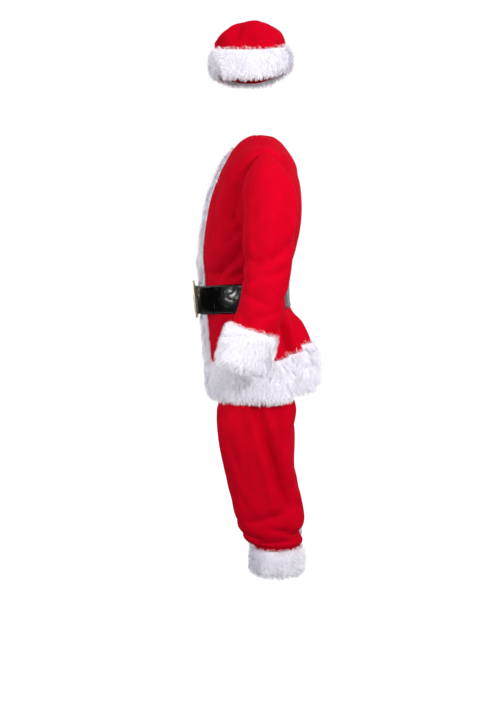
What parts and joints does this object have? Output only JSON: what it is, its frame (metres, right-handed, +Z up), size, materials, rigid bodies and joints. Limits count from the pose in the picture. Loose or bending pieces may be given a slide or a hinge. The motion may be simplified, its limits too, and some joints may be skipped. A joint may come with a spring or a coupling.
{
  "type": "santa suit",
  "caption": "Worn santa suit: belted red jacket with a plush front band, hem and cuffs, loose trousers and a flopped stocking hat, with an empty hollow inside.",
  "frame": {"origin": "middle of the neckline, where the wearer's shoulders carry the jacket", "axes": "+Z up, -Y the wearer's front, +X the wearer's left"},
  "size_m": [0.747, 0.3635, 1.4945],
  "materials": {
    "red_cloth": "felted velour with a fine rib",
    "red_elastic": "gathered casing over elastic",
    "white_plush": "long shaggy pile",
    "black_vinyl": "glossy coated vinyl",
    "pale_brass": "pale polished plate"
  },
  "bodies": {
    "root": {"jacket_front_left": "red_cloth", "jacket_front_right": "red_cloth", "jacket_back": "red_cloth", "sleeve_left": "red_cloth", "sleeve_right": "red_cloth", "trouser_leg_left": "red_cloth", "trouser_leg_right": "red_cloth", "hat_crown": "red_cloth", "waistband": "red_elastic", "front_band": "white_plush", "hem_plush": "white_plush", "sleeve_cuff_left": "white_plush", "sleeve_cuff_right": "white_plush", "leg_cuff_left": "white_plush", "leg_cuff_right": "white_plush", "hat_brim": "white_plush", "pompom": "white_plush", "belt": "black_vinyl", "buckle_frame": "pale_brass", "buckle_prong": "pale_brass"}
  },
  "joints": []
}
